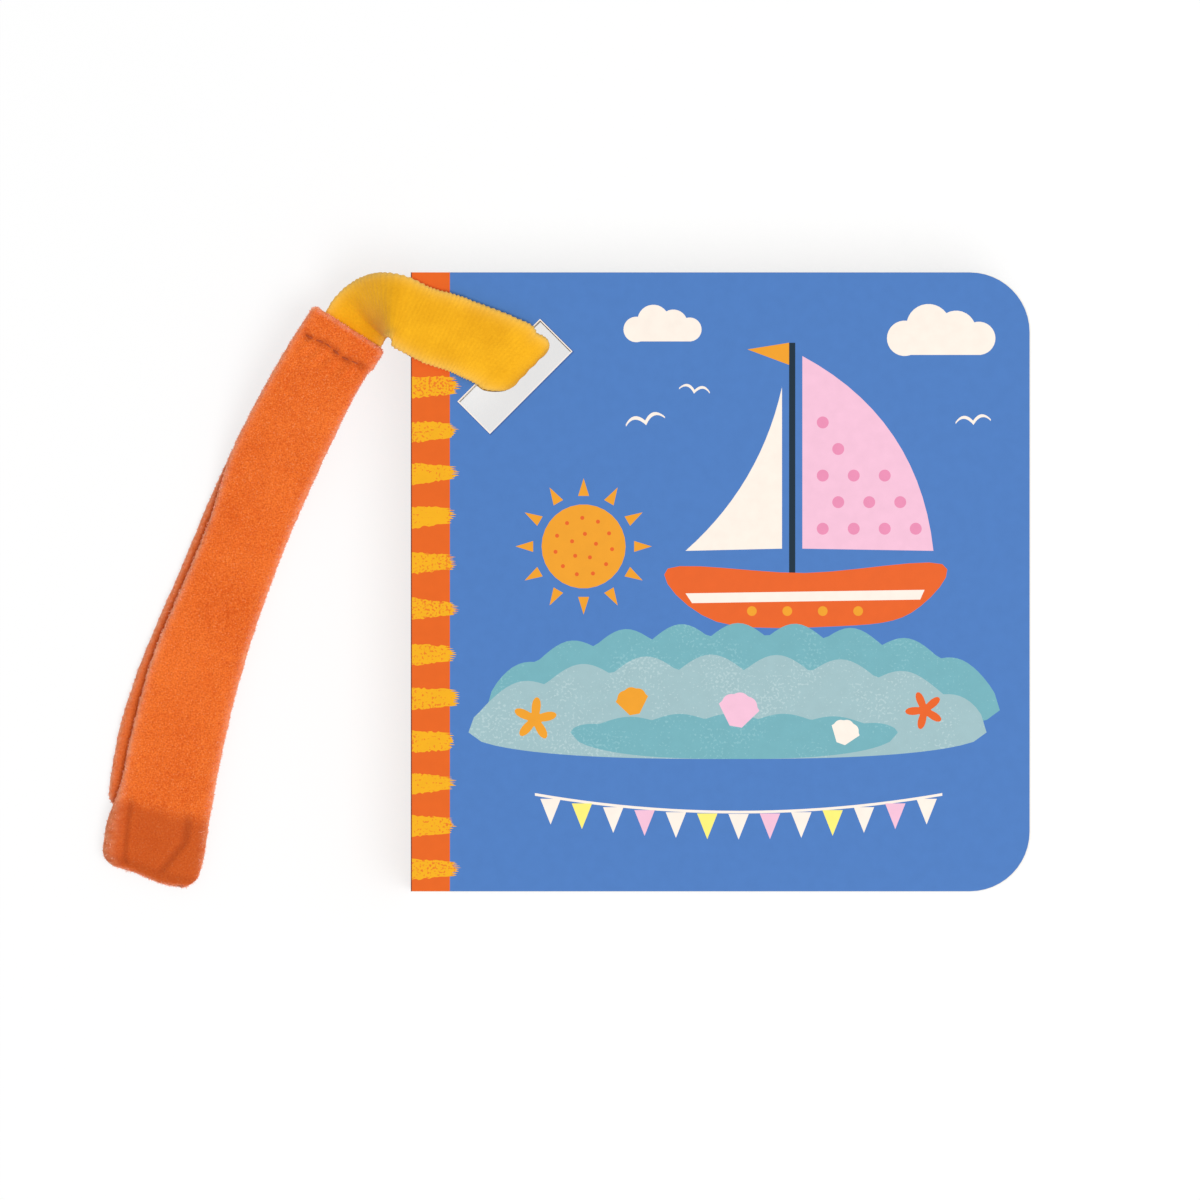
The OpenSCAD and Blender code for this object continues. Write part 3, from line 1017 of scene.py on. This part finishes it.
def strap_shape(run, v, h, out_h, spot, s):
    """The strap's puffed middle, its courses, its creases at the turn and its gathers in the window, with
    painted shade in the creases and a rim paler with fuzz and painted sheen.
    """
    edge = abs(v) / s[4]
    full = min(1, s[5] / (strap_t / 2))
    above = spot.z > book_t or s[0] < spine_x
    puff = 0.42 * (1 - edge**2) * full if out_h > 0 and above and s[2] > mid_z else 0
    course = (0.05 + 0.1 * edge**8) * math.cos(math.tau * run / course_len) * full
    course += 0.09 * edge**8 * noise.noise(Vector((run / 1.3, v, 3)))
    lump = 0.16 * noise.noise(Vector(spot) / 5) * full if out_h > 0 else 0
    arm = Vector((s[0], s[1])) - turn_centre
    reach = (Vector(spot[:2]) - turn_centre).length
    around = math.degrees(math.atan2(arm.y, arm.x))
    turning = hump((around - 96) / 75)
    inner = math.exp(-max(0, reach - turn_r) / 3.6)
    crease_and_shade = turning * inner * max(0, math.cos(math.radians((around - 92) * 11))) ** 3
    gather = smooth((cover_strand_z - s[2]) / 4) * smooth((s[2] - (2 * mid_z - cover_strand_z)) / 4)
    in_window = gather if s[0] > window_centre.x - 9 else 0
    folds = 0.1 * math.cos(math.tau * v / 3.1) * in_window * (1 - edge**6)
    tight = 0.7 * hump((around - 75) / 60) if out_h**2 < 0.9 and reach < turn_r + s[4] else 0
    push = puff + course * (1 - in_window) + lump - 0.14 * crease_and_shade - folds + tight
    if s[2] < 0.5:
        push = min(push, -0.05) if out_h > 0 else 0.02 * math.cos(math.tau * run / course_len)
    # The rim mark is partly paler fuzz and partly painted sheen on the edges.
    rim = 0.75 * edge**7 * (1 if out_h >= -0.3 else 0)
    # Painted shade along the inner edge of the turn; the creases above also darken the colour as painted
    # shade.
    pinch_shade = math.exp(-(((reach - turn_r - 0.6) / 1.1) ** 2)) * hump((around - 78) / 26) if above else 0
    return push, 0, (run, v, min(1, 0.12 * crease_and_shade + 0.4 * pinch_shade), rim)


rows = closely(strap_sections, strap_spacing)
points, faces, marks = band_mesh(rows, 34, 8, strap_shape)
hinge_x = frame["joints"][0]["pos_m"][0] / MM


def strap_part(name, keep):
    """Part of the strap, with the whole strap's smooth shading and marks along its cuts."""
    used, number, part_faces = [], {}, []
    for face in strap_faces:
        if keep(sum((strap_points[i] for i in face), Vector()) / len(face)):
            for i in face:
                if i not in number:
                    number[i] = len(used)
                    used.append(i)
            part_faces.append([number[i] for i in face])
    part = put_mesh(name, [strap_points[i] for i in used], part_faces, [yellow_knit], smooth=True)
    mark_points(part, ("along", "across", "crease_and_shade", "rim"), [strap_marks[i] for i in used])
    part.data.normals_split_custom_set_from_vertices([strap_normals[i] for i in used])
    return part


def cut_at(points, faces, marks, where, value):
    """Cuts every face that crosses a plane square to one axis, so that a part can end there."""
    points, marks = list(points), list(marks)
    edges, out = {}, []

    def crossing(i, j):
        key = (min(i, j), max(i, j))
        if key not in edges:
            t = (value - points[i][where]) / (points[j][where] - points[i][where])
            edges[key] = len(points)
            points.append(mix(points[i], points[j], t))
            marks.append(tuple(mix(a, b, t) for a, b in zip(marks[i], marks[j])))
        return edges[key]

    for face in faces:
        sides = [points[i][where] > value for i in face]
        if all(sides) or not any(sides):
            out.append(face)
            continue
        low, high = [], []
        for i, j, here, there in zip(face, face[1:] + face[:1], sides, sides[1:] + sides[:1]):
            (high if here else low).append(i)
            if here != there:
                low.append(crossing(i, j))
                high.append(low[-1])
        out += [low, high]
    return points, out, marks


points, faces, marks = cut_at(points, faces, marks, 0, hinge_x)
strap_points, strap_faces, strap_marks = cut_at(points, faces, marks, 2, mid_z)
whole = bpy.data.meshes.new("whole strap")
whole.from_pydata(strap_points, [], strap_faces)
whole.polygons.foreach_set("use_smooth", [True] * len(strap_faces))
strap_normals = [v.normal.copy() for v in whole.vertices]
bpy.data.meshes.remove(whole)

strap_over = strap_part("strap_over_cover", lambda p: p.x > hinge_x and p.z > mid_z)
strap_under = strap_part("strap_under_cover", lambda p: p.x > hinge_x and p.z < mid_z)
turn_upper = strap_part("strap_turn_upper", lambda p: p.x < hinge_x and p.z > mid_z)
turn_lower = strap_part("strap_turn_lower", lambda p: p.x < hinge_x and p.z < mid_z)
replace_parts(strap_over, "strap_loop")

# The parts over and under the covers stay where they were made. The turn's two halves ride on the page block,
# each with a mesh of its own.
for part, board, low, high in (
    (strap_over, "front_board", front_low.z - board_gap, front_low.z),
    (strap_under, "back_board", back_high.z + board_gap, back_high.z),
):
    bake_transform(part)
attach(turn_upper, "block")
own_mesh(turn_upper)
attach(turn_lower, "block")
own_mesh(turn_lower)


# Plush tabs
# Two bands of short-pile loop plush, sewn over the strap's ends by one row of stitches. The front
# one is longer. Its end is pressed flat where the hook patch is sewn under it.

tab_t = 2
tab_seam_w = 19
tab_w = 21.6
front_tab_len = 134
rear_short = 2.2
tab_curve_r = 290
tab_peek = 3
peek_share = 0.88
peek_reach = 48
waist_in = 2
waist_at = 57
waist_before = 24
waist_after = 36
tab_end_r = 4
rear_end_r = 2.4
stitch_in = 6.2
drape_len = 44
patch_len = 10.5
patch_w = 17
patch_t = 1.4
table_z = -pressed_t
tab_head = 180 + seam_head - 4.8
tab_back = 1.5
tab_top_r = 1.2
end_slant = 9
end_slant_len = 24
tab_start = turn_centre + (turn_r + tab_seam_w / 2 - 1.1) * unit(seam_head + 90) - tab_back * unit(seam_head)
tab_seam_off = skin_gap / 2 + tail_t + skin_gap + tab_t / 2
rear_lay_z = table_z + tab_t / 2
front_lay_z = rear_lay_z + tab_t + 0.15
front_end_z = table_z + patch_t + tab_t / 2
drape_from = tail_len - tab_back + 0.5
patch_in = 1.8
patch_s = front_tab_len - patch_in - patch_len / 2
rear_tab_len = front_tab_len - patch_in - patch_len - rear_short
rear_plush_len = rear_tab_len + 0.8


def tab_turned(s):
    """Heading of the tabs' curve, s along it."""
    return tab_head + math.degrees(s / tab_curve_r)


def tab_point(s, off):
    """A point on the tabs' curve, off to its left."""
    head, start = math.radians(tab_turned(s)), math.radians(tab_head)
    bent = Vector((math.sin(head) - math.sin(start), math.cos(start) - math.cos(head)))
    return tab_start + tab_curve_r * bent + off * unit(tab_turned(s) + 90)


def round_in(left, r):
    """How much narrower a tab is on each side near a rounded end."""
    return r - math.sqrt(r * r - (r - max(0, left)) ** 2) if left < r else 0


def tab_sections(length, height, lie, end_r, step=0.4):
    """Sections of a tab from its sewn edge to its free end. lie says how it shifts and is drawn in."""
    rows = []
    places = [0, 0.1, 0.25, 0.45, 0.7]
    places += [mix(1, length - end_r, k / round(length / step)) for k in range(round(length / step))]
    places += [length - end_r * (1 - math.sin(math.radians(a))) for a in range(0, 91, 6)]
    for s in places:
        off, drawn = lie(s)
        width = mix(tab_seam_w, tab_w, s / front_tab_len) - drawn
        width -= 2 * round_in(length - s, end_r) + 2 * round_in(s, tab_top_r)
        thick = tab_t * min(1, 0.25 + math.sqrt(min(1, s / 1.2)), 0.2 + math.sqrt(max(0, length - s) / 1.1))
        head = tab_turned(s) - end_slant * smooth((s - length + end_slant_len) / end_slant_len)
        rows.append([*section(tab_point(s, off), height(s), head, width, thick), s])
    return rows


def plush(name, hex_colour, deep_hex, light_hex):
    """Short-pile loop plush in polyester: a deep matt nap with fine specks, rims paler with fuzz and painted
    sheen, and painted shade in its sewn row, its creases and beside the front tab.
    """
    cloth = new_finish(
        name,
        Roughness=0.95,
        Specular_IOR_Level=0.15,
        Sheen_Weight=0.2,
        Sheen_Roughness=0.45,
        Sheen_Tint=linear("#ffc9a8"),
    )
    specks = grain(cloth, 0.38, 2, Roughness=0.7)
    nap = grain(cloth, 3.2, 3, Distortion=0.8)
    shade = maths(cloth, "MULTIPLY_ADD", nap, 0.18, specks)
    shade = maths(cloth, "MULTIPLY_ADD", grain(cloth, 14, 1), 0.25, shade)
    tone = tinted(cloth, ranged(cloth, shade, 0.52, 0.9), deep_hex, hex_colour)
    flecks = grain(cloth, 0.33, 1)
    for low, high, fleck_hex in ((0.6, 0.72, "#ffa571"), (0.4, 0.3, "#b9461a")):
        tone = tinted(cloth, ranged(cloth, flecks, low, high, 0, 0.42), tone, fleck_hex)
    # The first mark darkens the front tab's pressed nap and holds painted shade on the rear tab, the middle
    # one is partly fuzz and partly painted sheen, the last is painted shade.
    for mark, mark_hex in (("pressed", "#bb4c1c"), ("rim", light_hex), ("groove_and_shade", "#9c3c17")):
        tone = tinted(cloth, marked(cloth, mark), tone, mark_hex)
    coat(cloth, tone, specks, 0.7, 0.35)
    return cloth


orange_plush = plush("orange loop plush", "#ff8032", "#df5a18", "#ffb48c")


def stitch_row(v):
    """How far from the top edge the stitches run: a hand-guided row that wavers a little."""
    return stitch_in + 0.3 * math.sin(0.7 * v)


def plush_shape(length, is_front):
    """The pile's lumps, the sunken stitched row and its puckers, and the pressed end of the front tab, with
    painted shade in the row, its creases, near the end and on the rear tab.
    """

    def shape(run, v, h, out_h, spot, s):
        at = s[6]
        edge = abs(v) / s[4]
        top = out_h > 0
        end = length - at
        pressed = smooth((18 - end - 2.4 * noise.noise(Vector((v / 5, 7, 0)))) / 4.5) if is_front else 0
        pile = 0.10 * noise.noise(Vector(spot) / 0.55) + 0.13 * noise.noise(Vector(spot) / 2.3)
        pile += 0.12 * noise.noise(Vector(spot) / 9)
        push = pile * (1 - 0.75 * pressed)
        row = hump((at - stitch_row(v)) / 1.5)
        thread = 0.55 + 0.45 * math.cos(math.tau * v / 3.4)
        groove_and_shade = row * (1 - edge**8)
        push -= 0.5 * groove_and_shade * (0.7 + 0.3 * thread)
        pucker = hump((at - stitch_in - 3) / 4) * math.cos(math.tau * (v + 0.3 * at) / 3.6) * (1 - edge**4)
        push += 0.16 * pucker
        push += 0.35 * hump((at - stitch_in + 3) / 3.4) * (1 - edge**2) if top else 0
        left_crease = hump((v + s[4] * 0.68 + 0.03 * end) / 1.0) * pressed * smooth(end / 3)
        slope = mix(s[4] * 0.54, -s[4] * 0.02, 1 - min(1, end / 10))
        right_crease = hump((v - slope) / 1.7) * pressed * smooth((end - 1.5) / 2)
        dent = (left_crease + right_crease) if top else 0
        push -= 0.3 * dent
        push -= 0.3 * pressed * (1 - edge**6) * (1 - hump((end - 1.5) / 2)) if top else 0
        shade_row = groove_and_shade * (0.45 + 0.55 * thread) if top or not is_front else 0
        end_shade = hump((end - 1.6) / 1.8) * pressed
        # The rim mark is partly paler fuzz and partly painted sheen round the edges and ends.
        rim = 0.9 * edge**16 * (1 - 0.4 * pressed)
        rim += 0.55 * (1 - smooth(at / 1.4))
        rim += 0.4 * (1 - smooth(end / 0.9))
        rim = min(1, rim * (0.8 + 0.8 * noise.noise(Vector(spot) / 0.8)))
        beside = v / s[4]
        narrow = 0.65 * smooth((at - stitch_in + 1.2) / 1.6) * (1 - smooth((at - 10) / 26))
        push -= narrow * max(0, beside) ** 6
        push += 1.9 * smooth((21 - end) / 13) * max(0, -beside) ** 6 if is_front else 0
        push -= 1.1 * smooth((9 - end) / 9) * max(0, beside) ** 6 if is_front else 0
        slide = 0.45 * math.sin(v / 2.7 + 0.8) * smooth((7 - end) / 7) if is_front else 0
        # Painted shade: darker along the stitched row, in the creases of the pressed end and near the end
        # itself.
        dark = min(1, 0.5 * shade_row + 0.4 * dent + 0.25 * end_shade)
        # Painted shade over the rear tab's top from a little past its seam, where it lies under and beside
        # the front tab.
        shade_beside_front_tab = 0 if is_front or not top else 0.35 * smooth((at - 12) / 20)
        return push, slide, (0.6 * pressed + shade_beside_front_tab, rim, dark)

    return shape


def settle(piece):
    """Sets a piece on the page block, with a mesh of its own."""
    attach(piece, "block")
    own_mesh(piece)
    return piece


def plush_tab(name, node, length, height, lie, end_r, is_front):
    """One tab with its marks: where it is pressed, where painted shade darkens it along the sewn row and
    elsewhere, and its rim, paler with fuzz and painted sheen.
    """
    rows = tab_sections(length, height, lie, end_r)
    points, faces, marks = band_mesh(rows, 44, 9, plush_shape(length, is_front))
    tab = put_mesh(name, points, faces, [orange_plush], smooth=True)
    mark_points(tab, ("pressed", "rim", "groove_and_shade"), [[max(0, much) for much in mark] for mark in marks])
    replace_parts(settle(tab), node)
    return tab


def pile(tab, count, seed):
    """Fibres of the plush that stand out, most of them round its rims. Each is one sliver of a face."""
    stray = random.Random(seed)
    skin = tab.data
    rims = skin.attributes["rim"].data
    edge_faces = [f for f in skin.polygons if rims[f.vertices[0]].value > 0.12]
    open_faces = [f for f in skin.polygons if f.normal.z > 0.3]
    points, faces = [], []
    for k in range(count):
        skin_face = stray.choice(edge_faces if k % 4 else open_faces)
        away = skin_face.normal + Vector([stray.gauss(0, 0.45) for _ in range(3)])
        away.normalize()
        foot = skin_face.center / MM + 0.2 * Vector([stray.uniform(-1, 1) for _ in range(3)]) - 0.15 * away
        long = stray.uniform(0.5, 1.1) if k % 4 else stray.uniform(0.35, 0.6)
        thin = away.cross(Vector([stray.gauss(0, 1) for _ in range(3)])).normalized() * 0.07
        points += [foot - thin, foot + thin, foot + away * long]
        faces.append([3 * k, 3 * k + 1, 3 * k + 2])
    points = [Vector((p.x, p.y, max(p.z, table_z + 0.02))) for p in points]
    fibres = put_mesh(f"{tab.name}_pile", points, faces, [stray_fibre])
    return settle(fibres)


def stitches(tab_name, height, side):
    """The one row of lockstitch through both tabs: short bars of thread, sunk into the pile."""
    points, faces = [], []
    sides, turns = 6, 6
    for start in [-7.4 + 2.35 * k for k in range(6)]:
        first = len(points)
        for k in range(turns + 1):
            t = k / turns
            v = start + 1.9 * t
            spot = tab_point(stitch_row(v), v)
            z = height(stitch_in) + side * (tab_t / 2 - 0.5 + 0.16 * math.sin(math.pi * t))
            thick = 0.2 * (0.35 + 0.65 * math.sin(math.pi * t) ** 0.5 if 0 < k < turns else 0.35)
            ahead = unit(tab_turned(stitch_in))
            for j in range(sides):
                way = unit(360 * j / sides)
                around = way.x * Vector((*ahead, 0)) + way.y * Vector((0, 0, 1))
                points.append(Vector((*spot, z)) + thick * around)
        for k in range(turns):
            for j in range(sides):
                a, b = first + k * sides + j, first + k * sides + (j + 1) % sides
                faces.append([a, b, b + sides, a + sides])
        faces.append([first + j for j in range(sides)][::-1])
        faces.append([len(points) - sides + j for j in range(sides)])
    row = put_mesh(tab_name, points, faces, [sewing_thread], smooth=True)
    return settle(row)


def mottled(name, size_mm, detail, one_hex, other_hex, **sockets):
    """A finish that wavers between two colours."""
    finish = new_finish(name, **sockets)
    coat(finish, tinted(finish, grain(finish, size_mm, detail), one_hex, other_hex))
    return finish


stray_fibre = mottled(
    "loose pile fibres", 0.7, 1, "#fb8a54", "#ffd2ba", Roughness=0.9, Specular_IOR_Level=0.15
)
sewing_thread = mottled("dark orange polyester thread", 0.3, 1, "#a04018", "#c85a22", Roughness=0.6)

off_patch = front_end_z - front_lay_z


def front_height(s):
    """How high the front tab's middle lies: down from the seam, then off the rear tab on to its patch."""
    down = mix(mid_z + tab_seam_off, front_lay_z, smooth((s - drape_from) / drape_len))
    return down + off_patch * smooth((s - rear_tab_len - 1) / 4)


def rear_height(s):
    """How high the rear tab's middle lies."""
    return mix(mid_z - tab_seam_off, rear_lay_z, smooth((s - drape_from) / drape_len))


def front_lie(s):
    """The front tab's left edge is drawn in about its middle, and shows the rear tab beside it."""
    drawn = waist_in * hump((s - waist_at) / (waist_before if s < waist_at else waist_after))
    return drawn / 2, drawn


def rear_lie(s):
    """The rear tab slips out to the left towards its end."""
    return -tab_peek * hump((s - peek_share * rear_tab_len) / peek_reach), 0


front_tab = plush_tab("front_tab_plush", "front_tab", front_tab_len, front_height, front_lie, tab_end_r, True)
rear_tab = plush_tab("rear_tab_plush", "rear_tab", rear_plush_len, rear_height, rear_lie, rear_end_r, False)
for tab, count, seed in ((front_tab, 14000, 3), (rear_tab, 9000, 4)):
    pile(tab, count, seed)
stitches("stitches_front", front_height, 1)
stitches("stitches_rear", rear_height, -1)


# Hook patch
# Moulded nylon hook tape, sewn under the front tab's end. It closes on any part of the loop plush.

hook_pitch = 1.5
hook_rows = 6
hooks_in_row = 10
tape_t = 0.5

hook_stem = ((-0.2, -0.15, 0.25), (0.2, 0.15, 0.95))
hook_tip = ((-0.2, -0.15, 0.02), (0.55, 0.15, 0.25))

hook_tape = mottled(
    "moulded nylon hook tape", 1.2, 2, "#b94a1a", "#d4622c", Roughness=0.45, Specular_IOR_Level=0.4
)


def box_mesh(low, high):
    """The points and faces of a plain block between two corners."""
    points = [(x, y, z) for z in (low[2], high[2]) for y in (low[1], high[1]) for x in (low[0], high[0])]
    faces = [[0, 2, 3, 1], [4, 5, 7, 6], [0, 1, 5, 4], [2, 6, 7, 3], [0, 4, 6, 2], [1, 3, 7, 5]]
    return points, faces


patch_middle, patch_way = tab_point(patch_s, 0), unit(tab_turned(patch_s))


def on_patch(points):
    """Sets points of the patch's own frame under the front tab's end."""
    turned = []
    for x, y, z in points:
        ahead, beside = patch_way * x, Vector((-patch_way.y, patch_way.x)) * y
        turned.append(Vector((*(patch_middle + ahead + beside), table_z + z)))
    return turned


tape_points, tape_faces = box_mesh(
    (-patch_len / 2, -patch_w / 2, patch_t - tape_t), (patch_len / 2, patch_w / 2, patch_t)
)
tape = settle(put_mesh("hook_tape_band", on_patch(tape_points), tape_faces, [hook_tape]))
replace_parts(tape, "hook_patch")

points, faces = [], []
for i in range(hook_rows):
    for j in range(hooks_in_row):
        x, y = (i - (hook_rows - 1) / 2) * hook_pitch, (j - (hooks_in_row - 1) / 2) * hook_pitch
        for low, high in (hook_stem, hook_tip):
            bar, sides = box_mesh(low, high)
            faces += [[len(points) + n for n in side] for side in sides]
            points += [(x + px, y + py, pz) for px, py, pz in bar]
hooks = settle(put_mesh("hook_tape_hooks", on_patch(points), faces, [hook_tape]))


# Studio
# A plain white table a strap's thickness below the boards, one broad lamp and an even white sky.
# Seen straight, the table is white, and it still takes the book's soft shadow.

floor_half = 3000

table = new_finish("matt white studio table", Roughness=0.9, Base_Color=linear("#ffffff"))
path = add(table, "ShaderNodeLightPath", {})
seen = maths(table, "MAXIMUM", path["Is Camera Ray"], path["Is Glossy Ray"])
seen = maths(table, "MAXIMUM", seen, path["Is Transmission Ray"])
glow = add(table, "ShaderNodeEmission", {"Color": (1, 1, 1, 1), "Strength": 1})[0]
share = maths(table, "MULTIPLY", seen, 0.76)
lit = table.node_tree.nodes["Principled BSDF"].outputs[0]
top = add(table, "ShaderNodeMixShader", {0: share, 1: lit, 2: glow})[0]
table.node_tree.links.new(top, table.node_tree.nodes["Material Output"].inputs["Surface"])
floor_corners = [(x, y, table_z) for x, y in oblong(-floor_half, -floor_half, floor_half, floor_half)]
floor = put_mesh("floor", floor_corners, [[0, 1, 2, 3]], [table])

lamp = bpy.data.objects.new("broad lamp", bpy.data.lights.new("broad lamp", "AREA"))
bpy.context.scene.collection.objects.link(lamp)
lamp.data.shape = "DISK"
lamp.data.size = 1.8
lamp.data.energy = 48
lamp.location = (0.9, -0.7, 2.6)
lamp.rotation_euler = (Vector((0, 0, 0)) - lamp.location).to_track_quat("-Z", "Y").to_euler()

world = bpy.data.worlds.new("even white sky")
bpy.context.scene.world = world
world.use_nodes = True
sky = world.node_tree.nodes["Background"]
sky.inputs["Color"].default_value = (1, 1, 1, 1)
direct = add(world, "ShaderNodeLightPath", {})["Is Camera Ray"]
strength = add(world, "ShaderNodeMix", {0: direct, 2: 0.53, 3: 1})[0]
world.node_tree.links.new(strength, sky.inputs["Strength"])

bpy.context.scene.view_settings.view_transform = "Standard"
